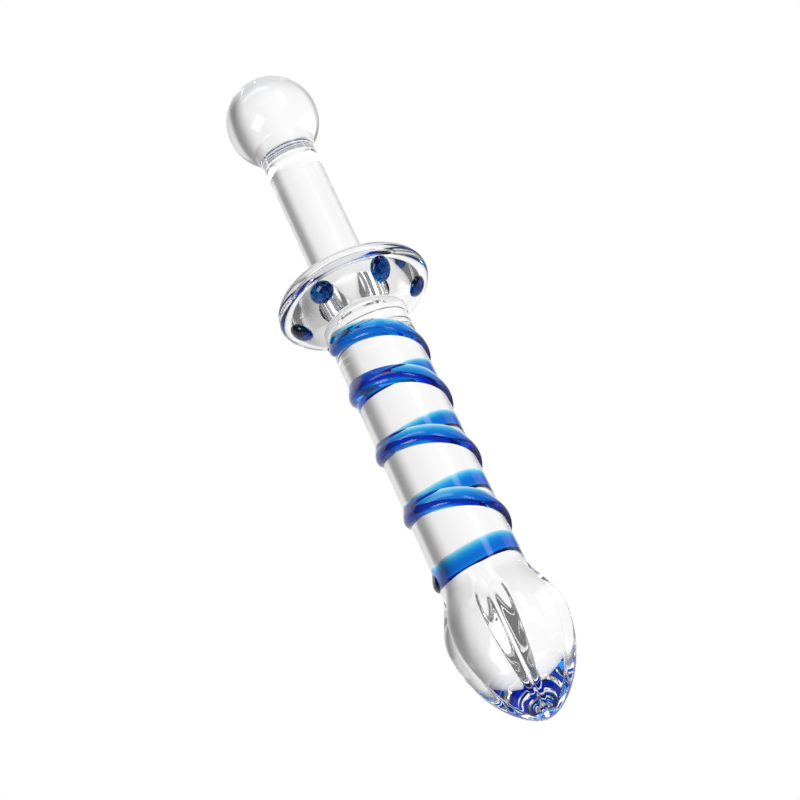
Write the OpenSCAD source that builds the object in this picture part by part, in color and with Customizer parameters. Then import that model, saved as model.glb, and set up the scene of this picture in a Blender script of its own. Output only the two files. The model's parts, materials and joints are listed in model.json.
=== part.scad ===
// Solid glass wand with a ball handle, a dotted guard, a spiral-wrapped shaft and a fluted bulb.
// It is one piece of lampworked glass; each node is one gather or trail that the worker fused on.
// It lies at rest on z = 0, on the guard's rim and on the bulb, with the bulb towards +X.
// Every sub-part is first drawn along an axis of its own: +X runs from the ball to the bulb, and
// x = 0 is the middle of the guard's rounded edge. laid() then tips that axis into the rest pose.

/* [Handle] */
// Diameter of the ball at the end of the handle
ball_d = 29.4; // [26:0.2:34]
// Diameter of the bare handle rod
handle_d = 17.1; // [14:0.1:20]
// Distance from the guard's middle to the centre of the ball
ball_reach = 72.6; // [60:0.2:90]
// Length of the weld between the ball and the handle rod
collar_len = 8.8; // [6:0.1:11]
// How far the weld stands out from the handle rod where it meets the ball
collar_proud = 1; // [0.4:0.1:1.6]
// How far the bead at the weld's other end stands out from the rod
bead_proud = 0.2; // [0.2:0.1:0.8]

/* [Guard] */
// Widest diameter of the guard
guard_d = 47.4; // [42:0.2:54]
// Thickness of the guard's rounded edge
guard_edge = 4.6; // [3.6:0.2:6]
// How far the back of the guard swells towards the handle
guard_swell = 1.2; // [0.6:0.1:2]
// Diameter of the boss where it rises from the guard disc
boss_d = 41; // [40:0.5:42.5]
// Height of the boss above the guard disc
boss_h = 6.9; // [5:0.1:9]
// How rounded the boss is, from nearly a cone to nearly a dome
boss_rounding = 0.4; // [0.2:0.1:0.8]

/* [Dots] */
// How many blue dots stand on the boss
dot_count = 6; // [4:1:6]
// Diameter of the ring that the dots lie on
dot_ring_d = 36.8; // [34:0.2:38]
// Radius of the ball of glass that each dot is part of
dot_r = 4.9; // [4.2:0.1:5.2]
// How deep the centre of that ball lies below the boss's surface
dot_sunk = 2.9; // [2.2:0.1:3.2]
// Turn of the first dot away from the top, towards +Y
dot_turn = 35; // [0:1:60]

/* [Shaft] */
// Diameter of the shaft rod
shaft_d = 25; // [22:0.2:28]
// Distance from the guard's middle to the start of the bulb
shaft_reach = 101.5; // [95:0.5:120]
// Length of the ring of clear glass between the boss and the shaft
neck_len = 3.6; // [2.4:0.1:3.8]
// Depth of the two grooves beside that ring
neck_groove = 0.7; // [0.2:0.1:0.8]

/* [Spiral] */
// Distance between the turns of the blue trail
wrap_pitch = 21.5; // [20:0.1:21.8]
// Number of turns of the trail
wrap_turns = 4.05; // [3:0.05:4.05]
// Distance from the guard's middle to the middle of the trail's first end
wrap_start = 14.6; // [14.6:0.1:15]
// How much closer the second turn sits than the pitch, where the winding started
wrap_tuck = 4.4; // [3:0.2:5]
// Width of the trail along the shaft
wrap_w = 6.4; // [4:0.2:6.6]
// How far the trail stands out from the shaft
wrap_proud = 1.3; // [0.6:0.1:2]
// Turn of the trail's first end away from the top, towards +Y
wrap_turn = -88; // [-180:1:180]

/* [Bulb] */
// Widest diameter of the bulb
bulb_d = 34.8; // [31:0.2:38]
// Length of the bulb
bulb_len = 43.3; // [38:0.2:50]
// Number of lobes round the bulb
lobe_count = 5; // [5:1:8]
// Depth of the flutes between the lobes where the bulb is widest
flute_depth = 3.4; // [1:0.1:3.6]
// Half of a flute's width, as a turn round the bulb's axis
flute_half = 15; // [12:1:20]

/* [Hidden] */

$fn = 96;
clear_glass = [0.92, 0.95, 0.96, 0.45];
blue_glass = [0.02, 0.18, 0.8, 0.9];

// Handle: the collar starts where the ball has narrowed to the collar's own radius
handle_r = handle_d / 2;
collar_r = handle_r + collar_proud;
ball_r = ball_d / 2;
collar_start = -ball_reach + sqrt(ball_r * ball_r - collar_r * collar_r);
collar_end = collar_start + collar_len;

// Guard
guard_r = guard_d / 2;
edge_r = guard_edge / 2;
boss_r = boss_d / 2;
boss_end = edge_r + boss_h;
back_face = -edge_r - guard_swell;

// Shaft
shaft_r = shaft_d / 2;
neck_end = boss_end + neck_len;
neck_r = shaft_r - neck_groove;
neck_swell = 2 * neck_groove;

// Spiral
wrap_steps = 36;
wrap_arc = 6;
wrap_end_turns = 0.07;

// Bulb: its widest place is nearer to the shaft than to its end
bulb_r = bulb_d / 2;
shoulder_len = 0.36 * bulb_len;
nose_len = bulb_len - shoulder_len;
flute_share = flute_depth / bulb_r;
bulb_rings = 26;
lobe_steps = 12;
lobe_pitch = 360 / lobe_count;
bulb_sides = lobe_count * lobe_steps;

// A point at distance x along the axis and r away from it, turned by a from the top towards +Y
function spot(x, r, a) = [x, r * sin(a), r * cos(a)];

// Eases from 0 to 1
function ease(u) = let (v = max(0, min(1, u))) v * v * (3 - 2 * v);

// Share of its fall from the disc to the neck that the boss has made at a share u of its height
function boss_fall(u) = (1 - boss_rounding) * u + boss_rounding * u * u;
function boss_at(u) = boss_r - (boss_r - neck_r) * boss_fall(u);
// The share of the boss's height at which its radius is r
function boss_share(r) =
    let (fall = (boss_r - r) / (boss_r - neck_r), straight = 1 - boss_rounding)
        (sqrt(straight * straight + 4 * boss_rounding * fall) - straight) / (2 * boss_rounding);

// Radius of the bulb before fluting, at a distance s from its start
function bulb_at(s) =
    s < shoulder_len
    ? shaft_r + (bulb_r - shaft_r) * pow(sin(90 * s / shoulder_len), 1.35)
    : bulb_r * pow(max(0, 1 - pow((s - shoulder_len) / nose_len, 1.8)), 0.625);
// How much of the full flute depth there is at a distance s from the bulb's start
function flute_at(s) = flute_share * ease(s / (0.24 * bulb_len));
// Turn from a place on the bulb to the nearest flute; one flute is on top
function flute_away(a) = abs(a - lobe_pitch * round(a / lobe_pitch));
// Shape of the flutes round the bulb: 1 in the bottom of a flute, 0 on the lobes
function flute_shape(a) = max(0, 1 - flute_away(a) / flute_half);
function bulb_point(s, a) =
    spot(shaft_reach + s, bulb_at(s) * (1 - flute_at(s) * flute_shape(a)), a);
// Rings crowd together towards the end, where the bulb closes fastest
function ring_place(i) = bulb_len * sin(90 * i / bulb_rings);
bulb_points = [
    for (i = [0:bulb_rings - 1])
        for (j = [0:bulb_sides - 1])
            bulb_point(ring_place(i), 360 * j / bulb_sides)
];

// Rest pose: the rim and the fluted bulb touch the same plane. Each pass finds the lowest place of
// the bulb at the last tilt, and tilts until the rim's arc and that place are level.
rim_r = guard_r - edge_r;
function dip(p, tilt) = p.x * sin(tilt) - p.z * cos(tilt);
function bulb_dip(tilt) = max([for (p = bulb_points) dip(p, tilt)]);
function rim_dip(tilt) = rim_r * cos(tilt) + edge_r;
function settle(tilt, passes) =
    passes == 0
    ? tilt
    : settle(tilt + asin((rim_dip(tilt) - bulb_dip(tilt)) / (shaft_reach + shoulder_len)), passes - 1);
rest_tilt = settle(3, 4);
rest_lift = rim_dip(rest_tilt);
front_x = max([for (p = bulb_points) p.x * cos(rest_tilt) + p.z * sin(rest_tilt)]);
nose_x = (shaft_reach + bulb_len) * cos(rest_tilt);
rear_x = -ball_reach * cos(rest_tilt) - ball_r;
rest_x = -(max(front_x, nose_x) + rear_x) / 2;

// Places a sub-part, drawn along its own axis, in the rest pose
module laid() {
    translate([rest_x, 0, rest_lift])
        rotate([0, rest_tilt, 0])
            children();
}

// Turns an outline of [radius, distance along the axis] into a solid about the X axis
module turned(outline) {
    rotate([0, 90, 0])
        rotate_extrude()
            polygon(outline);
}

// A rod along the axis from one distance to another
module rod(r, from_x, to_x) {
    translate([from_x, 0, 0])
        rotate([0, 90, 0])
            cylinder(r = r, h = to_x - from_x);
}

// Ball at the handle's end, cut flat where the collar takes over
module pommel_ball() {
    color(clear_glass)
        laid()
            intersection() {
                translate([-ball_reach, 0, 0])
                    sphere(r = ball_r);
                rod(ball_d, -ball_reach - ball_d, collar_start);
            }
}

// Weld: it eases down from the ball over half its length, and ends in a low bead
function collar_at(u) =
    handle_r + collar_proud * (1 - ease(2 * u)) + bead_proud * sin(180 * max(0, 2 * u - 1));
module pommel_collar() {
    steps = 16;
    outline = [
        [0, collar_start],
        for (i = [0:steps])
            [collar_at(i / steps), collar_start + collar_len * i / steps],
        [0, collar_end]
    ];
    color(clear_glass)
        laid()
            turned(outline);
}

module handle_rod() {
    color(clear_glass)
        laid()
            rod(handle_r, collar_end, back_face);
}

// Pressed disc with a round edge, flat in front and slightly swollen behind
module guard_disc() {
    steps = 12;
    outline = [
        [0, back_face],
        [handle_r, back_face],
        for (i = [0:steps])
            let (a = -90 + 180 * i / steps)
                [rim_r + edge_r * cos(a), edge_r * sin(a)],
        [0, edge_r]
    ];
    color(clear_glass)
        laid()
            turned(outline);
}

// Rounded cone on the disc's front that narrows to the neck
module boss_solid() {
    steps = 16;
    outline = [
        [0, edge_r],
        for (i = [0:steps])
            [boss_at(i / steps), edge_r + boss_h * i / steps],
        [0, boss_end]
    ];
    turned(outline);
}

module guard_boss() {
    color(clear_glass)
        laid()
            boss_solid();
}

// One dot: a cap of blue glass that lies on the boss at the ring's radius
dot_ring_r = dot_ring_d / 2;
dot_u = boss_share(dot_ring_r);
dot_x = edge_r + boss_h * dot_u;
dot_slope = atan2(boss_at(dot_u - 0.05) - boss_at(dot_u + 0.05), 0.1 * boss_h);
module dot(number) {
    turn = dot_turn + 360 * (number - 1) / dot_count;
    color(blue_glass)
        laid()
            difference() {
                translate(spot(dot_x - dot_sunk * sin(dot_slope), dot_ring_r - dot_sunk * cos(dot_slope), turn))
                    sphere(r = dot_r, $fn = 48);
                boss_solid();
                rod(guard_r + dot_r, -guard_d, edge_r);
            }
}

// Ring of clear glass with a groove on either side of it
module neck_ring() {
    steps = 12;
    outline = [
        [0, boss_end],
        for (i = [0:steps])
            [neck_r + neck_swell * pow(sin(180 * i / steps), 0.7), boss_end + neck_len * i / steps],
        [0, neck_end]
    ];
    color(clear_glass)
        laid()
            turned(outline);
}

module shaft_rod() {
    color(clear_glass)
        laid()
            rod(shaft_r, neck_end, shaft_reach);
}

// The trail: rings of points across its width, carried round the shaft by the helix
function wrap_x(turns) =
    wrap_start + wrap_pitch * turns - wrap_tuck * ease((turns - 0.48) / 0.5);
// The trail's ends are drawn in to a rounded tongue
function wrap_full(turns) =
    let (left = min(turns, wrap_turns - turns) / wrap_end_turns)
        left >= 1 ? 1 : max(0.15, sqrt(1 - (1 - left) * (1 - left)));
function wrap_ring(turns) =
    let (full = wrap_full(turns))
        [
            for (i = [0:wrap_arc])
                let (a = 180 * i / wrap_arc)
                    spot(wrap_x(turns) - full * wrap_w / 2 * cos(a),
                        shaft_r + full * wrap_proud * sin(a),
                        wrap_turn + 360 * turns)
        ];
module spiral_wrap() {
    count = floor(wrap_turns * wrap_steps);
    rings = [for (i = [0:count]) wrap_ring(wrap_turns * i / count)];
    points = [for (ring = rings) for (p = ring) p];
    n = wrap_arc + 1;
    sides = [
        for (i = [0:count - 1])
            for (j = [0:n - 1])
                let (k = (j + 1) % n)
                    [i * n + j, i * n + k, (i + 1) * n + k, (i + 1) * n + j]
    ];
    first_end = [for (j = [0:n - 1]) n - 1 - j];
    last_end = [for (j = [0:n - 1]) count * n + j];
    color(blue_glass)
        laid()
            polyhedron(points, concat(sides, [first_end, last_end]), convexity = 8);
}

// Bulb: rings of points about the axis that close in one point at the nose
module tip_bulb() {
    n = bulb_sides;
    nose = len(bulb_points);
    points = concat(bulb_points, [[shaft_reach + bulb_len, 0, 0]]);
    sides = [
        for (i = [0:bulb_rings - 2])
            for (j = [0:n - 1])
                let (k = (j + 1) % n)
                    [i * n + j, (i + 1) * n + j, (i + 1) * n + k, i * n + k]
    ];
    nose_faces = [for (j = [0:n - 1]) [(bulb_rings - 1) * n + j, nose, (bulb_rings - 1) * n + (j + 1) % n]];
    base = [for (j = [0:n - 1]) j];
    color(clear_glass)
        laid()
            polyhedron(points, concat(sides, nose_faces, [base]), convexity = 4);
}

pommel_ball();
pommel_collar();
handle_rod();
guard_disc();
guard_boss();
dot(1);  // guard_dot_1
dot(2);  // guard_dot_2
dot(3);  // guard_dot_3
dot(4);  // guard_dot_4
dot(5);  // guard_dot_5
dot(6);  // guard_dot_6
neck_ring();
shaft_rod();
spiral_wrap();
tip_bulb();
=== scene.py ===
# %% [markdown]
# # A lampworked glass wand, piece by piece
# The object is one length of clear borosilicate glass that a lampworker built up from rods, balls
# and pressed discs, and then decorated with dots and a trail of blue glass. Every join was melted
# until it vanished. This lesson rebuilds those gathers as separate pieces that meet without a line.

# %% Load the frame
import json
import math

import bpy
import numpy as np
from mathutils import Matrix, Vector


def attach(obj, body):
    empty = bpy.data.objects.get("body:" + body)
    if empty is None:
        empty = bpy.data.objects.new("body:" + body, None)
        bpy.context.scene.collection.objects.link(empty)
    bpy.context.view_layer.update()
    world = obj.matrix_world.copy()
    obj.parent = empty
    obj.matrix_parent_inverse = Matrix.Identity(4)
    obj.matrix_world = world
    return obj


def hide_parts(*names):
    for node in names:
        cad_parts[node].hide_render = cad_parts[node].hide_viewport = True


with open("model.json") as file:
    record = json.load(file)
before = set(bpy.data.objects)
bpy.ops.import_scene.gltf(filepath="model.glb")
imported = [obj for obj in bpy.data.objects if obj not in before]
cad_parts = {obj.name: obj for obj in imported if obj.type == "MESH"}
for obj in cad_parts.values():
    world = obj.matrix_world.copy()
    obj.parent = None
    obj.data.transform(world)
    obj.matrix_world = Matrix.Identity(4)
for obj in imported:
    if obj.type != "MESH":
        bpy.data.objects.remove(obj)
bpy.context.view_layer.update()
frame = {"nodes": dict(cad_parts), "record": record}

# %% [markdown]
# ## The wand's own axis
# A lampworker turns the rod all the time, so almost everything is round about one axis. The wand
# rests on the guard's rim and on the bulb, and that tips the axis a little. It is easiest to draw
# each gather along the axis and tip the points into place. The grip mount gives the axis, and the
# CAD pieces give every distance along it, so nothing has to be fitted afterwards.

# %% The axis, and the places of the pieces along it
MM = 0.001
grip = frame["record"]["mounts"][0]
axis = np.array(grip["axis"]) / np.linalg.norm(grip["axis"])
side = np.array([0.0, 1.0, 0.0])
top = np.cross(axis, side)
grip_place = np.array(grip["pos_m"])


def span(node):
    """Nearest and farthest place of a CAD piece along the axis, and its greatest radius."""
    points = np.array([v.co for v in frame["nodes"][node].data.vertices]) - grip_place
    along = points @ axis
    radius = np.hypot(points @ side, points @ top)
    return along.min(), along.max(), radius.max()


EDGE_R = 2.3 * MM
_, disc_front, guard_r = span("guard_disc")
guard_mid = grip_place + (disc_front - EDGE_R) * axis
middle = disc_front - EDGE_R


def along(node):
    """Start, end and greatest radius of a CAD piece, measured from the guard's middle."""
    start, end, radius = span(node)
    return start - middle, end - middle, radius


def at(x, r, turn):
    """Points at distances x along the axis and r away from it, turned from the top towards +Y."""
    x, r, turn = np.broadcast_arrays(x, r, turn)
    across = (r * np.sin(turn))[..., None] * side
    up = (r * np.cos(turn))[..., None] * top
    return guard_mid + x[..., None] * axis + across + up


ball_start, _, ball_r = along("pommel_ball")
collar_start, collar_end, _ = along("pommel_collar")
_, handle_end, handle_r = along("handle_rod")
_, boss_end, boss_r = along("guard_boss")
_, neck_end, neck_crest_r = along("neck_ring")
_, shaft_end, shaft_r = along("shaft_rod")
bulb_start, bulb_end, bulb_r = along("tip_bulb")
_, _, trail_r = along("spiral_wrap")
print("ball", round(2000 * ball_r, 1), "mm, shaft", round(2000 * shaft_r, 1), "mm across")

# %% [markdown]
# ## Camera
# The wand is seen from above its bulb, 60 degrees above its own axis, and the camera is rolled so
# that the wand runs from the upper left to the lower right. A long lens keeps perspective mild.

# %% Set up the camera
AIM = 38.66 * MM
AIM_ASIDE = -0.34 * MM
CAMERA_DISTANCE = 576.1 * MM
ABOVE_AXIS = math.radians(60)
CAMERA_ROLL = math.radians(24.86)
LENS = 90

aim = guard_mid + AIM * axis + AIM_ASIDE * side
elevation = ABOVE_AXIS - math.asin(-axis[2])
back = Vector((math.cos(elevation), 0, math.sin(elevation)))
level_up = Vector((-math.sin(elevation), 0, math.cos(elevation)))
roll_side = Vector((0, 1, 0))
camera_up = math.cos(CAMERA_ROLL) * level_up + math.sin(CAMERA_ROLL) * roll_side
camera_right = camera_up.cross(back)
turn = Matrix((camera_right, camera_up, back)).transposed().to_4x4()
camera = bpy.data.objects.new("camera", bpy.data.cameras.new("camera"))
camera.data.lens = LENS
camera.matrix_world = Matrix.Translation(Vector(aim) + CAMERA_DISTANCE * back) @ turn
bpy.context.scene.collection.objects.link(camera)
bpy.context.scene.camera = camera
print("camera at", [round(v, 3) for v in camera.matrix_world.translation])

# %% [markdown]
# ## Light
# Clear glass shows only what it bends, so its look is the look of the room. Glass is usually
# shown in bright field: a white sheet lies behind it, and everything beyond the sheet is dimmer.
# The middle of each rod then stays white, and a grey line is drawn just inside each edge, where
# the glass bends the view past the sheet. A world shader can be that room. It depends only on the
# direction of the light, so the glass reads the same from every side.

# %% Helpers for node trees
def add(tree, kind, **values):
    """Adds a node, sets its properties and unlinked inputs, and returns it."""
    node = tree.nodes.new(kind)
    for name, value in values.items():
        if name in node.inputs:
            node.inputs[name].default_value = value
        else:
            setattr(node, name, value)
    return node


def math_node(tree, operation, first, second=None):
    """A Math node fed by sockets or numbers; returns its output socket."""
    node = add(tree, "ShaderNodeMath", operation=operation)
    for place, value in enumerate((first, second)):
        if value is None:
            continue
        if isinstance(value, (int, float)):
            node.inputs[place].default_value = value
        else:
            tree.links.new(value, node.inputs[place])
    return node.outputs[0]


def ramp_between(tree, value, low, high, start=0.0, end=1.0):
    """Eases from start to end while value goes from low to high."""
    node = add(tree, "ShaderNodeMapRange", interpolation_type="SMOOTHSTEP")
    tree.links.new(value, node.inputs["Value"])
    for name, number in zip(("From Min", "From Max", "To Min", "To Max"), (low, high, start, end)):
        node.inputs[name].default_value = number
    return node.outputs[0]


# %% [markdown]
# The sheet isn't even. There is a dark gap between it and the side light, towards +Y, its far edge
# fades, and it dims a little towards the front. Each of those is a ramp over one direction. Three
# softboxes hang in the dim room above and give the highlights. A panorama of a real room could do
# the same, but ramps can be set one by one.

# %% Light and shade of the studio
SHEET_LIGHT = 1.02
DARKEST_SHEET = 0.08
ROOM_LIGHT = 0.16
GAP_SHADE = 0.62
# Each ramp: how far the light points that way where it starts and ends and, where they aren't 0
# and 1, its values there
GAP_START = (0.26, 0.6)
GAP_END = (0.63, 0.77, 1.0, 0.2)
GAP_IN_FRONT = (-0.1, 0.55, 1.0, 0.3)
FAR_EDGE = (-0.97, -0.72, 0.32, 0.0)
FRONT_EDGE = (-0.45, 0.35, 0.0, 0.2)
SIDE_SLOPE = (-0.15, 0.3, 0.0, 0.12)
HORIZON = (-0.12, 0.1)
BOX_AHEAD = (0.2, 0.3)
BOX_EDGE = 0.07
# Each softbox: where it hangs, which way its width runs, half of its sizes, and its light
SOFT_BOXES = [
    ((0.35, -0.55, 0.75), (1, 0.4, 0), (0.2, 0.3), 5.0),
    ((-0.25, 0.62, 0.7), (1, 0.2, 0), (0.3, 0.12), 3.0),
    ((-0.7, -0.1, 0.45), (0, 1, 0), (0.4, 0.12), 2.0),
]
print("softboxes:", len(SOFT_BOXES))


# %% The studio round the glass
def towards(tree, direction, vector):
    """How far the light's direction points along a given one, from -1 to 1."""
    node = add(tree, "ShaderNodeVectorMath", operation="DOT_PRODUCT")
    tree.links.new(direction, node.inputs[0])
    node.inputs[1].default_value = Vector(vector).normalized()
    return node.outputs["Value"]


def soft_box(tree, direction, centre, right, half_size, soft):
    """A mask that is 1 inside a rectangle of sky, with soft edges."""
    centre = Vector(centre).normalized()
    right = (Vector(right) - Vector(right).dot(centre) * centre).normalized()
    up = centre.cross(right)
    ahead = ramp_between(tree, towards(tree, direction, centre), *BOX_AHEAD)
    for line, half in zip((right, up), half_size):
        place = math_node(tree, "ABSOLUTE", towards(tree, direction, line))
        edge = ramp_between(tree, place, half - soft, half + soft, 1.0, 0.0)
        ahead = math_node(tree, "MULTIPLY", ahead, edge)
    return ahead


def studio():
    """White to the camera; to the glass, a white sheet below and softboxes in a dim room above."""
    world = bpy.data.worlds.new("studio")
    bpy.context.scene.world = world
    world.use_nodes = True
    tree = world.node_tree
    tree.nodes.clear()
    direction = add(tree, "ShaderNodeTexCoord").outputs["Generated"]
    aside = towards(tree, direction, (0, 1, 0))
    height = towards(tree, direction, (0, 0, 1))
    front = towards(tree, direction, (1, 0, 0))

    # The sheet below the glass, less its shades
    gap = ramp_between(tree, aside, *GAP_START)
    for value, ramp in ((aside, GAP_END), (front, GAP_IN_FRONT)):
        gap = math_node(tree, "MULTIPLY", gap, ramp_between(tree, value, *ramp))
    shade = math_node(tree, "MULTIPLY", gap, GAP_SHADE)
    for value, ramp in ((aside, FAR_EDGE), (aside, SIDE_SLOPE), (front, FRONT_EDGE)):
        shade = math_node(tree, "ADD", shade, ramp_between(tree, value, *ramp))
    sheet = math_node(tree, "SUBTRACT", SHEET_LIGHT, shade)
    sheet = math_node(tree, "MAXIMUM", sheet, DARKEST_SHEET)

    # Above the horizon the room is dim but for its softboxes
    level = ramp_between(tree, height, *HORIZON)
    room = math_node(tree, "MULTIPLY", sheet, math_node(tree, "SUBTRACT", 1.0, level))
    dim = math_node(tree, "MULTIPLY", level, ROOM_LIGHT)
    light = math_node(tree, "ADD", room, dim)
    for centre, right, half_size, strength in SOFT_BOXES:
        mask = soft_box(tree, direction, centre, right, half_size, BOX_EDGE)
        light = math_node(tree, "ADD", light, math_node(tree, "MULTIPLY", mask, strength))

    shown = add(tree, "ShaderNodeLightPath").outputs["Is Camera Ray"]
    blend = add(tree, "ShaderNodeMix", data_type="FLOAT")
    tree.links.new(shown, blend.inputs["Factor"])
    tree.links.new(light, blend.inputs["A"])
    blend.inputs["B"].default_value = 1.0
    background = add(tree, "ShaderNodeBackground", Color=(1, 1, 1, 1))
    tree.links.new(blend.outputs["Result"], background.inputs["Strength"])
    output = add(tree, "ShaderNodeOutputWorld")
    tree.links.new(background.outputs[0], output.inputs["Surface"])
    return world


studio()
scene = bpy.context.scene
scene.view_settings.view_transform = "Standard"
# Light crosses the fused pieces many times before it leaves the glass
scene.cycles.max_bounces = 32
scene.cycles.transmission_bounces = 32
scene.cycles.glossy_bounces = 16
scene.cycles.transparent_max_bounces = 64
print("bounces in the glass:", scene.cycles.transmission_bounces)

# %% [markdown]
# The wand lies on plain white. A lit sheet would show grey shadows, so the floor gives off its own
# white light. It is hidden from rays inside the glass, which see the studio's sheet instead.

# %% The floor
FLOOR_HALF = 3.0
floor_mesh = bpy.data.meshes.new("floor")
corners = [(sx * FLOOR_HALF, sy * FLOOR_HALF, 0) for sx, sy in ((-1, -1), (1, -1), (1, 1), (-1, 1))]
floor_mesh.from_pydata(corners, [], [(0, 1, 2, 3)])
floor = bpy.data.objects.new("floor", floor_mesh)
scene.collection.objects.link(floor)
floor_material = bpy.data.materials.new("white_floor")
floor_material.use_nodes = True
floor_shader = floor_material.node_tree.nodes["Principled BSDF"]
floor_shader.inputs["Base Color"].default_value = (0, 0, 0, 1)
floor_shader.inputs["Specular IOR Level"].default_value = 0
floor_shader.inputs["Emission Color"].default_value = (1, 1, 1, 1)
floor_shader.inputs["Emission Strength"].default_value = 1.0
floor_mesh.materials.append(floor_material)
floor.visible_transmission = False
floor.visible_glossy = False
floor.visible_diffuse = False
floor.visible_shadow = False
print("floor, m across:", 2 * FLOOR_HALF)

# %% [markdown]
# ## The finishes
# Both glasses are fire-polished: the flame left them glossy, with slow ripples where the glass
# sagged as it was turned. Ripples could be cut into the meshes, but they are far finer than the
# shapes, so one node group makes them and every finish that shows uses it.

# %% Ripples of fire-polished glass, as a node group
TOUCH_SCALE = 140.0
TOUCH_HAZE = (0.66, 0.8, 0.0, 0.03)


def fire_polish_group():
    """Height of the flame's ripples, and a faint haze where the surface was touched."""
    group = bpy.data.node_groups.new("fire_polish", "ShaderNodeTree")
    for name, value in (("Ripple", 60.0), ("Stretch", 0.35), ("Depth", 1.0)):
        socket = group.interface.new_socket(name, in_out="INPUT", socket_type="NodeSocketFloat")
        socket.default_value = value
    group.interface.new_socket("Height", in_out="OUTPUT", socket_type="NodeSocketFloat")
    group.interface.new_socket("Haze", in_out="OUTPUT", socket_type="NodeSocketFloat")
    given = add(group, "NodeGroupInput")
    made = add(group, "NodeGroupOutput")
    place = add(group, "ShaderNodeTexCoord").outputs["Object"]
    combine = add(group, "ShaderNodeCombineXYZ", Y=1.0, Z=1.0)
    group.links.new(given.outputs["Stretch"], combine.inputs["X"])
    stretched = add(group, "ShaderNodeVectorMath", operation="MULTIPLY")
    group.links.new(place, stretched.inputs[0])
    group.links.new(combine.outputs[0], stretched.inputs[1])
    slow = add(group, "ShaderNodeTexNoise", Detail=1.5, Roughness=0.4)
    group.links.new(stretched.outputs[0], slow.inputs["Vector"])
    group.links.new(given.outputs["Ripple"], slow.inputs["Scale"])
    height = math_node(group, "MULTIPLY", slow.outputs["Fac"], given.outputs["Depth"])
    group.links.new(height, made.inputs["Height"])
    touch = add(group, "ShaderNodeTexNoise", Scale=TOUCH_SCALE, Detail=3.0)
    group.links.new(place, touch.inputs["Vector"])
    haze = ramp_between(group, touch.outputs["Fac"], *TOUCH_HAZE)
    group.links.new(haze, made.inputs["Haze"])
    return group


FIRE_POLISH = fire_polish_group()
print("made", FIRE_POLISH.name)


# %% Parts that every finish has
def new_finish(name):
    """A material, its tree and its Principled shader."""
    material = bpy.data.materials.new(name)
    material.use_nodes = True
    tree = material.node_tree
    return material, tree, tree.nodes["Principled BSDF"]


def ripple(tree, shader, depth, scale, stretch):
    """Feeds the fire polish to a shader's normal and roughness."""
    polish = add(tree, "ShaderNodeGroup", node_tree=FIRE_POLISH)
    polish.inputs["Ripple"].default_value = scale
    polish.inputs["Stretch"].default_value = stretch
    polish.inputs["Depth"].default_value = depth
    bump = add(tree, "ShaderNodeBump", Strength=1.0, Distance=1.0)
    tree.links.new(polish.outputs["Height"], bump.inputs["Height"])
    tree.links.new(bump.outputs["Normal"], shader.inputs["Normal"])
    tree.links.new(polish.outputs["Haze"], shader.inputs["Roughness"])


# %% [markdown]
# ### Clear glass
# Clear borosilicate bends light a little less than window glass. The bulb was squeezed with a
# tool, so its ripples are deeper than those of the drawn rod. Where two gathers were fused, the
# face between them is gone: it closes the mesh, and its finish shows nothing.

# %% The clear finishes
CLEAR_INDEX = 1.473
DRAWN_STRETCH = 0.35


def clear_finish(name, depth, scale):
    """Clear borosilicate glass, with ripples of a given depth and scale."""
    material, tree, shader = new_finish(name)
    shader.inputs["Base Color"].default_value = (1, 1, 1, 1)
    shader.inputs["IOR"].default_value = CLEAR_INDEX
    shader.inputs["Transmission Weight"].default_value = 1.0
    ripple(tree, shader, depth, scale, DRAWN_STRETCH)
    return material


def seam_finish():
    """A fused face inside the glass, which no longer shows."""
    material, _, shader = new_finish("fused_seam")
    shader.inputs["Base Color"].default_value = (1, 1, 1, 1)
    shader.inputs["Alpha"].default_value = 0.0
    return material


CLEAR = clear_finish("clear_glass", 12e-6, 130.0)
TOOLED = clear_finish("tooled_glass", 60e-6, 110.0)
SEAM = seam_finish()
print("clear finishes:", CLEAR.name, TOOLED.name, SEAM.name)

# %% [markdown]
# ### Blue glass
# The blue is in the depth of the glass and not on its surface. A blue surface colour would look
# the same on thick and thin glass, so it is an absorption that grows with the path of the light:
# thin edges come out cyan and thick middles cobalt. The dots were melted from crushed glass, and a
# node group makes the dark and teal mottling that its grains leave. The trail has a trace of it.

# %% Melted crushed glass, as a node group
# Each stop of the ramp from the darkest grains to the clearest, and its colour
FRIT_ENDS = [(0.42, (0.0, 0.0, 0.01, 1)), (0.64, (0.3, 0.8, 1.0, 1))]
FRIT_MIDDLE = [
    (0.48, (0.01, 0.04, 0.2, 1)),
    (0.53, (0.02, 0.16, 0.4, 1)),
    (0.58, (0.03, 0.3, 0.32, 1)),
]


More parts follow.
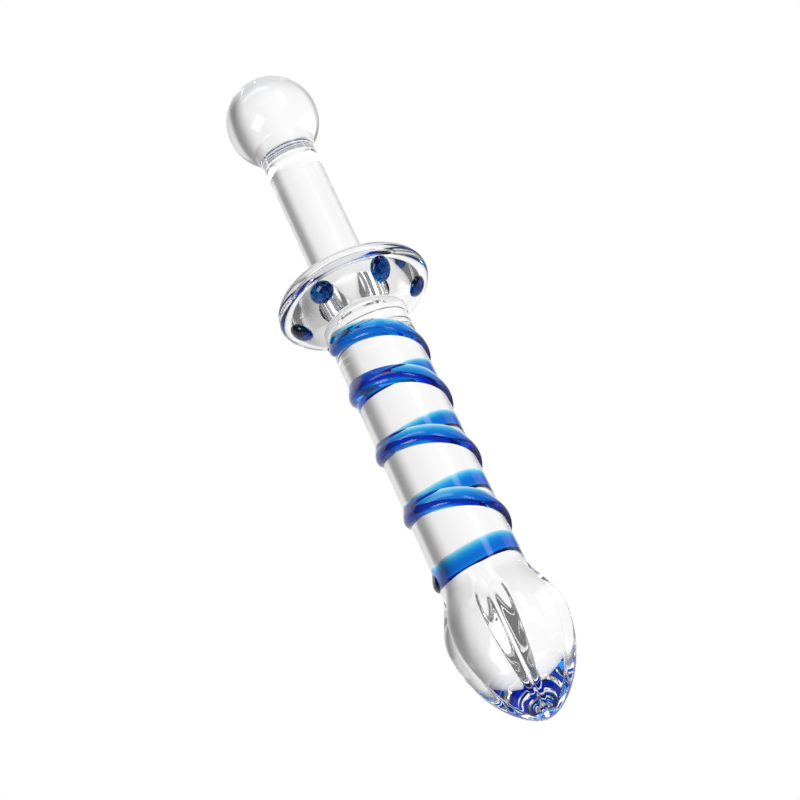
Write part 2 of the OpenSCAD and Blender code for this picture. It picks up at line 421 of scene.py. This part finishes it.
def frit_group():
    """Colour of glass that was melted from crushed blue and teal grains."""
    group = bpy.data.node_groups.new("melted_frit", "ShaderNodeTree")
    for name, value in (("Grain", 1.0), ("Amount", 1.0)):
        socket = group.interface.new_socket(name, in_out="INPUT", socket_type="NodeSocketFloat")
        socket.default_value = value
    group.interface.new_socket("Color", in_out="OUTPUT", socket_type="NodeSocketColor")
    given = add(group, "NodeGroupInput")
    made = add(group, "NodeGroupOutput")
    place = add(group, "ShaderNodeTexCoord").outputs["Object"]
    grains = add(group, "ShaderNodeTexNoise", Detail=3.0, Roughness=0.6, Distortion=1.2)
    group.links.new(place, grains.inputs["Vector"])
    group.links.new(given.outputs["Grain"], grains.inputs["Scale"])
    colours = add(group, "ShaderNodeValToRGB")
    for element, (stop, colour) in zip(colours.color_ramp.elements, FRIT_ENDS):
        element.position = stop
        element.color = colour
    for stop, colour in FRIT_MIDDLE:
        colours.color_ramp.elements.new(stop).color = colour
    group.links.new(grains.outputs["Fac"], colours.inputs["Fac"])
    blend = add(group, "ShaderNodeMix", data_type="RGBA")
    blend.inputs["A"].default_value = (1, 1, 1, 1)
    group.links.new(given.outputs["Amount"], blend.inputs["Factor"])
    group.links.new(colours.outputs["Color"], blend.inputs["B"])
    group.links.new(blend.outputs["Result"], made.inputs["Color"])
    return group


MELTED_FRIT = frit_group()
print("made", MELTED_FRIT.name)

# %% The blue finishes
BLUE_INDEX = 1.5
BLUE_RIPPLE = 260.0


def blue_finish(name, density, tint, depth, grain, amount):
    """Blue glass whose colour lies in its depth; faces fused to clear glass don't show."""
    material, tree, shader = new_finish(name)
    frit = add(tree, "ShaderNodeGroup", node_tree=MELTED_FRIT)
    frit.inputs["Grain"].default_value = grain
    frit.inputs["Amount"].default_value = amount
    tree.links.new(frit.outputs["Color"], shader.inputs["Base Color"])
    shader.inputs["IOR"].default_value = BLUE_INDEX
    shader.inputs["Transmission Weight"].default_value = 1.0
    ripple(tree, shader, depth, BLUE_RIPPLE, 1.0)
    skin = add(tree, "ShaderNodeAttribute", attribute_name="skin")
    tree.links.new(skin.outputs["Fac"], shader.inputs["Alpha"])
    inside = add(tree, "ShaderNodeVolumeAbsorption", Color=(*tint, 1), Density=density)
    tree.links.new(inside.outputs[0], tree.nodes["Material Output"].inputs["Volume"])
    return material


TRAIL_BLUE = blue_finish("blue_glass", 2400.0, (0.0, 0.74, 0.95), 6e-6, 120.0, 0.12)
DOT_BLUE = blue_finish("blue_dot_glass", 2300.0, (0.0, 0.8, 0.93), 40e-6, 480.0, 1.0)
print("blue finishes:", TRAIL_BLUE.name, DOT_BLUE.name)

# %% [markdown]
# ## How a gather becomes a mesh
# A gather could be a plain cylinder or sphere, but then each join would show as a sharp line, and
# glass has none. Here one outline runs from the ball to the shaft, and it is softened as a flame
# softens it. Each piece is a stretch of that outline turned round the axis. Its faces keep the
# true normals of the outline, so the light crosses from piece to piece without a break.

# %% A piece from points, faces and true normals
def make_piece(name, points, skin, fused, normals, finishes, slot, *nodes):
    """Makes a mesh piece. Skin faces take the given normals; fused faces lie inside the glass."""
    mesh = bpy.data.meshes.new(name)
    faces = [tuple(map(int, face)) for face in skin] + [tuple(map(int, face)) for face in fused]
    mesh.from_pydata([tuple(p) for p in points], [], faces)
    for finish in finishes:
        mesh.materials.append(finish)
    on_skin = np.arange(len(faces)) < len(skin)
    if len(finishes) > 1:
        mesh.polygons.foreach_set("material_index", np.where(on_skin, 0, 1))
    mark = mesh.attributes.new("skin", "FLOAT", "FACE")
    mark.data.foreach_set("value", on_skin.astype(np.float32))
    mesh.polygons.foreach_set("use_smooth", np.ones(len(faces), bool))
    corner_normals = []
    for face, polygon in zip(faces, mesh.polygons):
        if polygon.index < len(skin):
            corner_normals.extend(normals[list(face)])
        else:
            corner_normals.extend([polygon.normal] * len(face))
    mesh.normals_split_custom_set([tuple(n) for n in corner_normals])
    piece = bpy.data.objects.new(name, mesh)
    bpy.context.scene.collection.objects.link(piece)
    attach(piece, "root")
    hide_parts(*nodes)
    print(f"{name}: {len(points)} points, {len(faces)} faces")
    return piece


# %% [markdown]
# ## The outline
# The ball, its weld, the handle, the pressed disc, the boss and the neck ring follow each
# other along the axis. Each is a short formula, and the list of them is the outline. Rounding it
# with a narrow bell curve gives every corner the small fillet that surface tension would.

# %% Formulas of the outline
COLLAR_PROUD = 1.0 * MM
COLLAR_HASTE = 1.6
BEAD_PROUD = 0.15 * MM
BEAD_HASTE = 1.4
BOSS_ROUNDING = 0.4
NECK_GROOVE = 0.7 * MM
NECK_SHARPNESS = 0.7
RING_SHARE = 0.8
RISE_FROM = 0.86


def ease(u):
    """Eases from 0 to 1."""
    u = np.clip(u, 0, 1)
    return u * u * (3 - 2 * u)


ball_x = ball_start + ball_r
rim_r = guard_r - EDGE_R
neck_r = shaft_r - NECK_GROOVE
collar_r = handle_r + COLLAR_PROUD
steps = np.linspace(0, 1, 200)


def ball_line():
    """The ball, up to where it has narrowed to the weld."""
    last = math.pi - math.asin(collar_r / ball_r)
    return ball_x - ball_r * np.cos(last * steps), ball_r * np.sin(last * steps)


def collar_line():
    """The weld: it falls quickly from the ball and ends in a low bead."""
    fall = COLLAR_PROUD * (1 - ease(COLLAR_HASTE * steps))
    bead = BEAD_PROUD * ease(BEAD_HASTE * steps) * (1 - ease(steps))
    return collar_start + (collar_end - collar_start) * steps, handle_r + fall + bead


def handle_line():
    """The bare rod from the weld to the disc."""
    return collar_end + (handle_end - collar_end) * steps, np.full(len(steps), handle_r)


def disc_line():
    """The back of the disc, its round edge, and its face up to the boss."""
    turns = np.linspace(-math.pi / 2, math.pi / 2, 120)
    x = np.concatenate([[handle_end], EDGE_R * np.sin(turns), [EDGE_R]])
    r = np.concatenate([[handle_r], rim_r + EDGE_R * np.cos(turns), [boss_r]])
    return x, r


def boss_line():
    """A cone that is rounded a little, so that it meets the neck at an angle."""
    r = boss_r - (boss_r - neck_r) * ((1 - BOSS_ROUNDING) * steps + BOSS_ROUNDING * steps ** 2)
    return EDGE_R + (boss_end - EDGE_R) * steps, r


def neck_line():
    """A ring between two grooves, and the rise to the shaft."""
    u = np.clip(steps / RING_SHARE, 0, 1)
    crest = (neck_crest_r - neck_r) * np.sin(math.pi * u) ** NECK_SHARPNESS
    rise = (shaft_r - neck_r) * ease((steps - RISE_FROM) / (1 - RISE_FROM))
    return boss_end + (neck_end - boss_end) * steps, neck_r + crest + rise


# %% [markdown]
# The formulas meet in corners. A fillet could be drawn at each corner, but a bell curve run along
# the whole line rounds them all at once. The weld at the ball melted wider than the grooves beside
# the neck ring, so it gets a wider bell.

# %% Join the formulas, soften them and keep the samples that the shape needs
OUTLINE_STEP = 0.08 * MM
SOFT_WELD = 0.4 * MM
SOFT_GROOVE = 0.1 * MM
LEAD_IN = 4 * MM

lines = [ball_line(), collar_line(), handle_line(), disc_line(), boss_line(), neck_line()]
lines.append((np.array([neck_end + LEAD_IN]), np.array([shaft_r])))
x_all = np.concatenate([x for x, _ in lines])
r_all = np.concatenate([r for _, r in lines])
length = np.concatenate([[0], np.cumsum(np.hypot(np.diff(x_all), np.diff(r_all)))])
fine = np.arange(0, length[-1], OUTLINE_STEP)
fine_x = np.interp(fine, length, x_all)
fine_r = np.interp(fine, length, r_all)


def softened(width):
    """The outline after rounding with a bell curve of a given width."""
    reach = int(4 * width / OUTLINE_STEP)
    bell = np.exp(-0.5 * (np.arange(-reach, reach + 1) * OUTLINE_STEP / width) ** 2)
    # The line is continued past both ends, so that softening doesn't shrink it there
    beyond = fine_x[-1] + OUTLINE_STEP * np.arange(1, reach + 1)
    long_x = np.concatenate([fine_x[reach:0:-1], fine_x, beyond])
    long_r = np.concatenate([-fine_r[reach:0:-1], fine_r, np.full(reach, shaft_r)])
    return [np.convolve(line, bell / bell.sum(), "valid") for line in (long_x, long_r)]


on_handle = fine_x < (collar_end + handle_end) / 2
soft_x, soft_r = [np.where(on_handle, *pair) for pair in zip(softened(SOFT_WELD), softened(SOFT_GROOVE))]
soft_r[0] = 0
line_x = np.gradient(soft_x, OUTLINE_STEP)
line_r = np.gradient(soft_r, OUTLINE_STEP)
pace = np.hypot(line_x, line_r)
normal_x = -line_r / pace
normal_r = line_x / pace
ends = np.cumsum([len(x) for x, _ in lines]) - 1
stations = [0] + [int(round(length[e] / OUTLINE_STEP)) for e in ends[:6]]
print("outline samples:", len(fine), "cuts at, mm:", [round(1000 * soft_x[s], 2) for s in stations])

LONGEST_STEP = 2.0 * MM
MOST_BEND = math.radians(1.6)


def kept_samples(first, last):
    """Samples from first to last, close together only where the outline bends."""
    kept = [first]
    heading = np.unwrap(np.arctan2(line_r, line_x))
    bend = 0
    for i in range(first + 1, last):
        bend += abs(heading[i] - heading[i - 1])
        if bend > MOST_BEND or fine[i] - fine[kept[-1]] > LONGEST_STEP:
            kept.append(i)
            bend = 0
    return np.array(kept + [last])


# %% [markdown]
# Turning a stretch of the outline gives a closed piece. The discs at its two ends lie inside the
# glass, so they are fused faces, and only the wall between them is skin.

# %% Turn a stretch of the outline into a piece
COLUMNS = 240


def ring_faces(first, second, count):
    """Quads between two rings of points, given by the numbers of their first points."""
    j = np.arange(count)
    k = (j + 1) % count
    return np.stack([first + j, second + j, second + k, first + k], axis=1)


def turned_piece(name, first, last, slot, node, under=None):
    """A closed piece between two cuts. Faces whose middles lie under a dot are fused too."""
    samples = kept_samples(first, last)
    pole = soft_r[samples[0]] < 1e-9
    rings = samples[1:] if pole else samples
    turns = np.linspace(0, 2 * math.pi, COLUMNS, endpoint=False)
    grid = at(soft_x[rings][:, None], soft_r[rings][:, None], turns[None, :])
    out = at(normal_x[rings][:, None], normal_r[rings][:, None], turns[None, :]) - guard_mid
    points = grid.reshape(-1, 3)
    normals = out.reshape(-1, 3)
    count = len(points)
    points = np.vstack([points, at(soft_x[first], 0, 0), at(soft_x[last], 0, 0)])
    normals = np.vstack([normals, -axis, axis])
    starts = COLUMNS * np.arange(len(rings) - 1)
    skin = np.vstack([ring_faces(start, start + COLUMNS, COLUMNS) for start in starts])
    fused = []
    if under is not None:
        hidden = under(points[skin].mean(axis=1))
        fused = skin[hidden].tolist()
        skin = skin[~hidden]
    j = np.arange(COLUMNS)
    k = (j + 1) % COLUMNS
    first_disc = np.stack([np.full(COLUMNS, count), j, k], axis=1).tolist()
    final = (len(rings) - 1) * COLUMNS
    last_disc = np.stack([np.full(COLUMNS, count + 1), final + k, final + j], axis=1).tolist()
    skin = skin.tolist()
    if pole:
        skin += first_disc
    else:
        fused += first_disc
    fused += last_disc
    return make_piece(name, points, skin, fused, normals, [CLEAR, SEAM], slot, node)


turned_piece("ball", stations[0], stations[1], "clear_glass", "pommel_ball")
turned_piece("ball_weld", stations[1], stations[2], "clear_glass", "pommel_collar")
turned_piece("handle", stations[2], stations[3], "clear_glass", "handle_rod")
turned_piece("pressed_disc", stations[3], stations[4], "clear_glass", "guard_disc")

# %% [markdown]
# ## The dots
# A dot is a touch of blue glass on the boss, melted until it lies as a low cap with a lens
# of colour below the surface. It could be half a ball set on the boss, but the light would then
# cross the boss's skin inside the dot. So each dot is one closed drop: the part that stands out is
# skin, the part that sank in is fused, and the boss has no skin beneath it.

# %% Where the dots lie
DOT_RING_R = 18.4 * MM
DOT_R = 3.95 * MM
DOT_PROUD = 2.0 * MM
DOT_SUNK = 1.9 * MM
DOT_COUNT = 6
# The hand's unevenness: each dot's size round the boss, its size along the boss, and its slant
DOT_SHAPES = [
    (0.8, 1.02, 12), (0.95, 0.85, 20), (1.0, 0.9, 0),
    (0.9, 0.95, 40), (0.95, 0.9, 0), (0.98, 0.82, 8),
]
FOOT_SHARE = 0.985
DOT_TURN = math.radians(35)

boss_part = slice(stations[4], stations[5] + 1)
dot_sample = stations[4] + int(np.argmin(np.abs(soft_r[boss_part] - DOT_RING_R)))


def dot_frame(number):
    """Place on the boss, outward direction, and the two half axes of one dot's oval foot."""
    turn = DOT_TURN + number * 2 * math.pi / DOT_COUNT
    place = at(soft_x[dot_sample], soft_r[dot_sample], turn)
    out = at(normal_x[dot_sample], normal_r[dot_sample], turn) - guard_mid
    around = at(0, 1, turn + math.pi / 2) - guard_mid
    across = np.cross(out, around)
    wide, long, slant = DOT_SHAPES[number]
    slant = math.radians(slant)
    first = DOT_R * wide * (math.cos(slant) * around + math.sin(slant) * across)
    second = DOT_R * long * (math.cos(slant) * across - math.sin(slant) * around)
    return place, out, first, second


def boss_gap(points):
    """How far points stand out from the boss's skin, measured away from the axis."""
    local = points - guard_mid
    x = local @ axis
    r = np.hypot(local @ side, local @ top)
    skin_r = np.interp(x, soft_x[boss_part], soft_r[boss_part])
    return (r - skin_r) * normal_r[dot_sample]


def under_dots(points):
    """True for points of the boss's skin that lie inside a dot's foot."""
    hidden = np.zeros(len(points), bool)
    for number in range(DOT_COUNT):
        place, out, first, second = dot_frame(number)
        offset = points - place
        share = np.hypot(offset @ first / (first @ first), offset @ second / (second @ second))
        hidden |= (share < FOOT_SHARE) & (np.abs(offset @ out) < DOT_R)
    return hidden


turned_piece("boss", stations[4], stations[5], "clear_glass", "guard_boss", under_dots)
turned_piece("neck", stations[5], stations[6], "clear_glass", "neck_ring")


# %% [markdown]
# A drop is rings of points round the outward direction. Above the boss's skin it is a low dome,
# and below it a blunter belly that gives the colour its depth.

# %% Melt the dots on
DOT_RINGS = 72
DOT_COLUMNS = 120


def dot_piece(number):
    """One dot: skin where it stands out from the boss, fused where it sank in."""
    place, out, first, second = dot_frame(number)
    polar = np.linspace(0, math.pi, DOT_RINGS + 1)[1:-1, None]
    turns = np.linspace(0, 2 * math.pi, DOT_COLUMNS, endpoint=False)[None, :]
    radial = np.cos(turns)[..., None] * first + np.sin(turns)[..., None] * second
    width = np.where(polar < math.pi / 2, np.sin(polar), np.sqrt(np.sin(polar)))
    height = np.where(polar < math.pi / 2, DOT_PROUD, DOT_SUNK) * np.cos(polar)
    grid = place + height[..., None] * out + width[..., None] * radial
    ahead = np.gradient(grid, axis=0)
    beside = np.roll(grid, -1, axis=1) - np.roll(grid, 1, axis=1)
    normals = np.cross(ahead, beside)
    normals /= np.linalg.norm(normals, axis=2)[..., None]
    points = grid.reshape(-1, 3)
    count = len(points)
    points = np.vstack([points, place + DOT_PROUD * out, place - DOT_SUNK * out])
    normals = np.vstack([normals.reshape(-1, 3), out, -out])
    rings = DOT_RINGS - 1
    starts = DOT_COLUMNS * np.arange(rings - 1)
    faces = np.vstack([ring_faces(start, start + DOT_COLUMNS, DOT_COLUMNS) for start in starts])
    j = np.arange(DOT_COLUMNS)
    k = (j + 1) % DOT_COLUMNS
    crown_fan = np.stack([np.full(DOT_COLUMNS, count), j, k], axis=1)
    final = (rings - 1) * DOT_COLUMNS
    base_fan = np.stack([np.full(DOT_COLUMNS, count + 1), final + k, final + j], axis=1)
    proud = boss_gap(points[faces].mean(axis=1)) > 0
    skin = faces[proud].tolist() + crown_fan.tolist()
    fused = faces[~proud].tolist() + base_fan.tolist()
    name, node = f"dot_{number + 1}", f"guard_dot_{number + 1}"
    return make_piece(name, points, skin, fused, normals, [DOT_BLUE], "blue_glass", node)


for number in range(DOT_COUNT):
    dot_piece(number)

# %% [markdown]
# ## The shaft and its blue trail
# The worker lays a hot thread of blue on the turning shaft and melts it half in. The trail and the
# shaft share a skin line, so they have to share points: each column of the shaft's mesh is cut
# where the trail's two edges cross it, and the same points start the trail's own skin. Below the
# trail the shaft has only a fused face. The trail is a lens in section, proud outside and sunk
# inside, so its colour deepens from its edges to its middle.

# %% The trail's course
WRAP_TURNS = 4.05
WRAP_START = 14.6 * MM
WRAP_PITCH = 21.5 * MM
WRAP_TUCK = 4.4 * MM
TUCK_FROM = 0.48
TUCK_OVER = 0.5
WRAP_WIDTH = 6.4 * MM
WRAP_FIRST = math.radians(-88)
WRAP_TAPER = 0.07
WRAP_SUNK = 1.5 * MM
WRAP_SKEW = 0.4
WRAP_ROUNDNESS = 0.75
# The hand's unevenness: the share by which the thread swells, waves per turn, and their phase
SWELLS = ((0.06, 0.83, 0.6), (0.04, 2.2, 0.0))
# The thread's height swells a little earlier than its width
HEIGHT_LEAD = 0.3
TURN_COLUMNS = 180
wrap_proud = trail_r - shaft_r
print("the trail stands out", round(wrap_proud / MM, 2), "mm")


def wrap_x(u):
    """Place of the trail's middle along the axis after u turns."""
    return WRAP_START + WRAP_PITCH * u - WRAP_TUCK * ease((u - TUCK_FROM) / TUCK_OVER)


def wrap_full(u):
    """Share of its full width that the trail has after u turns; its ends are rounded tongues."""
    left = np.clip(np.minimum(u, WRAP_TURNS - u) / WRAP_TAPER, 0, 1)
    return np.sqrt(1 - (1 - left) ** 2)


def hand(u):
    """The thread's size after u turns, as a share of its usual size."""
    return 1 + sum(share * np.sin(2 * math.pi * u * waves + phase) for share, waves, phase in SWELLS)


def wrap_half(u):
    """Half of the trail's width after u turns."""
    return WRAP_WIDTH / 2 * wrap_full(u) * hand(u)


def shaft_skin(x):
    """Radius of the shaft's skin; it follows the softened outline where it leaves the neck."""
    lead = slice(stations[6] - 20, len(soft_x))
    return np.where(x < soft_x[-1], np.interp(x, soft_x[lead], soft_r[lead]), shaft_r)


# %% [markdown]
# The first column of the shaft runs along the trail's start, and each next column is turned a
# little and shifted along the helix. The last column meets the first one pitch further on.

# %% The shaft, cut along the trail's edges
GAP_ROWS = 24
TRAIL_ROWS = 14
FIRST_PASS = -2
LAST_PASS = 5
# Places along the axis are told apart to this many metres
SAME_PLACE = 1e-8
shaft_start = soft_x[stations[6]]


def column_rows(j):
    """Places along the axis where one column of the shaft has points, trail rows first."""
    rows = []
    for k in range(FIRST_PASS, LAST_PASS + 1):
        u = k + j / TURN_COLUMNS
        low, high = wrap_x(u) - wrap_half(u), wrap_x(u) + wrap_half(u)
        next_low = wrap_x(u + 1) - wrap_half(u + 1)
        rows.append(low + (high - low) * np.arange(TRAIL_ROWS) / TRAIL_ROWS)
        rows.append(high + (next_low - high) * np.arange(GAP_ROWS) / GAP_ROWS)
    return np.clip(np.concatenate(rows), shaft_start, shaft_end)


def shaft_piece():
    """The shaft, with a fused face instead of skin under the trail."""
    table = np.array([column_rows(j) for j in range(TURN_COLUMNS)])
    turns = WRAP_FIRST + 2 * math.pi * np.arange(TURN_COLUMNS) / TURN_COLUMNS
    radius = shaft_skin(table)
    points = at(table, radius, turns[:, None]).reshape(-1, 3)
    rows = table.shape[1]
    band = TRAIL_ROWS + GAP_ROWS
    keys = {}
    number = np.zeros(len(points), int)
    unique = []
    # Rows that were held back at the shaft's ends share one point per column
    flat = table.reshape(-1)
    for i in range(len(points)):
        key = (i // rows, round(flat[i] / SAME_PLACE))
        if key not in keys:
            keys[key] = len(unique)
            unique.append(i)
        number[i] = keys[key]
    skin, fused = [], []
    for j in range(TURN_COLUMNS):
        wraps = j == TURN_COLUMNS - 1
        shift = band if wraps else 0
        following = 0 if wraps else j + 1
        for row in range(rows - 1 - shift):
            a, b = j * rows + row, j * rows + row + 1
            c, d = following * rows + row + shift + 1, following * rows + row + shift
            face = [number[a], number[b], number[c], number[d]]
            face = [v for place, v in enumerate(face) if v != face[place - 1]]
            if len(face) < 3:
                continue
            faces = fused if row % band < TRAIL_ROWS else skin
            faces.append(face)
    start_ring = [keys[(j, round(shaft_start / SAME_PLACE))] for j in range(TURN_COLUMNS)]
    end_ring = [keys[(j, round(shaft_end / SAME_PLACE))] for j in range(TURN_COLUMNS)]
    points = points[unique]
    local = points - guard_mid
    normals = local - (local @ axis)[:, None] * axis
    normals /= np.linalg.norm(normals, axis=1)[:, None]
    count = len(points)
    points = np.vstack([points, at(shaft_start, 0, 0), at(shaft_end, 0, 0)])
    normals = np.vstack([normals, -axis, axis])
    for j in range(TURN_COLUMNS):
        k = (j + 1) % TURN_COLUMNS
        fused.append([count, start_ring[j], start_ring[k]])
        fused.append([count + 1, end_ring[k], end_ring[j]])
    return make_piece("shaft", points, skin, fused, normals, [CLEAR, SEAM], "clear_glass", "shaft_rod")


shaft_piece()


# %% [markdown]
# The trail could be a tube bent into a helix, but a melted thread has no underside to see. Its
# section is two arcs that meet at its edges: skin above and a fused face below. It was dragged as
# it was laid, so it is thickest towards the bulb.

# %% The trail: proud outside, sunk inside
def trail_piece():
    """The trail, from one rounded tongue to the other."""
    count = int(round(WRAP_TURNS * TURN_COLUMNS))
    u = np.arange(1, count) / TURN_COLUMNS
    turns = (WRAP_FIRST + 2 * math.pi * u)[:, None]
    share = np.arange(TRAIL_ROWS + 1) / TRAIL_ROWS
    middle_x, half = wrap_x(u)[:, None], wrap_half(u)[:, None]
    x = middle_x - half + 2 * half * share[None, :]
    v = 2 * share - 1
    v = v - WRAP_SKEW * (1 - v * v)
    bulge = (1 - v * v) ** WRAP_ROUNDNESS
    full = (wrap_full(u) * hand(u + HEIGHT_LEAD))[:, None]
    ground = shaft_skin(x)
    outer = at(x, ground + wrap_proud * full * bulge[None, :], turns)
    inner = at(x[:, 1:-1], ground[:, 1:-1] - WRAP_SUNK * full * bulge[None, 1:-1], turns)
    rows = TRAIL_ROWS + 1
    along_line = np.gradient(outer, axis=0)
    across_line = np.gradient(outer, axis=1)
    out = np.cross(across_line, along_line)
    out /= np.linalg.norm(out, axis=2)[..., None]
    # A tongue's tip is one point at either end
    points = np.vstack([
        outer.reshape(-1, 3), inner.reshape(-1, 3),
        at(wrap_x(0.0), shaft_skin(wrap_x(0.0)), WRAP_FIRST),
        at(wrap_x(WRAP_TURNS), shaft_r, WRAP_FIRST + 2 * math.pi * WRAP_TURNS),
    ])
    under = -out[:, 1:-1].reshape(-1, 3)
    normals = np.vstack([out.reshape(-1, 3), under, out[0, rows // 2], out[-1, rows // 2]])
    columns = len(u)

    def outside(i, s):
        """Number of the skin's point s of ring i."""
        return i * rows + s

    def inside(i, s):
        """Number of the fused face's point s of ring i; its edges are the skin's."""
        if s in (0, rows - 1):
            return i * rows + s
        return columns * rows + i * (rows - 2) + s - 1

    skin, fused = [], []
    for i in range(columns - 1):
        for s in range(rows - 1):
            skin.append([outside(i, s), outside(i, s + 1), outside(i + 1, s + 1), outside(i + 1, s)])
            fused.append([inside(i, s), inside(i + 1, s), inside(i + 1, s + 1), inside(i, s + 1)])
    tips = len(points) - 2, len(points) - 1
    last = columns - 1
    for s in range(rows - 1):
        skin.append([tips[0], outside(0, s + 1), outside(0, s)][::-1])
        fused.append([tips[0], inside(0, s), inside(0, s + 1)][::-1])
        skin.append([tips[1], outside(last, s), outside(last, s + 1)][::-1])
        fused.append([tips[1], inside(last, s + 1), inside(last, s)][::-1])
    return make_piece("trail", points, skin, fused, normals, [TRAIL_BLUE], "blue_glass", "spiral_wrap")


trail_piece()

# %% [markdown]
# ## The fluted bulb
# The bulb was squeezed while it was soft, and the tool left five flutes between five lobes. Its
# outline is a formula of the distance from the shaft, and the flutes are cut into it by a pattern
# round the axis that fades out towards the shaft. A smooth wave would do for a cast bulb, but a
# tool leaves narrow V-shaped flutes with flat walls, and the flame then rounds them a little.

# %% The bulb
LOBES = 5
FLUTE_DEPTH = 3.4 * MM
SHOULDER_SHARE = 0.36
SHOULDER_CURVE = 1.35
NOSE_FULLNESS = 1.8
NOSE_BLUNTNESS = 0.625
FLUTE_START = 0.24
FLUTE_HALF = math.radians(15)
FLUTE_BOTTOM = math.radians(1.5)
FLUTE_EDGE = 0.1
BULB_RINGS = 150
BULB_COLUMNS = 360
bulb_len = bulb_end - bulb_start
shoulder_len = SHOULDER_SHARE * bulb_len


def bulb_at(s):
    """Radius of the bulb before fluting, at a distance s from the shaft."""
    rise = np.sin(math.pi / 2 * np.clip(s / shoulder_len, 0, 1)) ** SHOULDER_CURVE
    fall = np.clip((s - shoulder_len) / (bulb_len - shoulder_len), 0, 1)
    nose = bulb_r * (1 - fall ** NOSE_FULLNESS) ** NOSE_BLUNTNESS
    return np.where(s < shoulder_len, shaft_r + (bulb_r - shaft_r) * rise, nose)


def flute_shape(turn):
    """1 at the bottom of a flute, 0 on the lobes between them; one flute is on top."""
    pitch = 2 * math.pi / LOBES
    off = np.abs((turn + pitch / 2) % pitch - pitch / 2)
    wall = 1 - np.hypot(off, FLUTE_BOTTOM) / FLUTE_HALF
    return (wall + np.hypot(wall, FLUTE_EDGE)) / 2


def bulb_piece():
    """The bulb, closed in one point at the nose and fused to the shaft at its start."""
    s = bulb_len * np.sin(math.pi / 2 * np.arange(BULB_RINGS) / BULB_RINGS)[:, None]
    turns = np.linspace(0, 2 * math.pi, BULB_COLUMNS, endpoint=False)[None, :]
    cut = FLUTE_DEPTH / bulb_r * ease(s / (FLUTE_START * bulb_len)) * flute_shape(turns)
    grid = at(bulb_start + s, bulb_at(s) * (1 - cut), turns)
    around = np.roll(grid, -1, axis=1) - np.roll(grid, 1, axis=1)
    ahead = np.gradient(grid, axis=0)
    out = np.cross(ahead, around)
    out /= np.linalg.norm(out, axis=2)[..., None]
    count = grid.shape[0] * grid.shape[1]
    points = np.vstack([grid.reshape(-1, 3), at(bulb_start, 0, 0), at(bulb_end, 0, 0)])
    normals = np.vstack([out.reshape(-1, 3), -axis, axis])
    starts = BULB_COLUMNS * np.arange(BULB_RINGS - 1)
    skin = np.vstack([ring_faces(start, start + BULB_COLUMNS, BULB_COLUMNS) for start in starts])
    skin = skin.tolist()
    j = np.arange(BULB_COLUMNS)
    k = (j + 1) % BULB_COLUMNS
    final = (BULB_RINGS - 1) * BULB_COLUMNS
    nose = np.full(BULB_COLUMNS, count + 1)
    skin += np.stack([nose, final + k, final + j], axis=1).tolist()
    fused = np.stack([np.full(BULB_COLUMNS, count), j, k], axis=1).tolist()
    return make_piece("bulb", points, skin, fused, normals, [TOOLED, SEAM], "clear_glass", "tip_bulb")


bulb_piece()
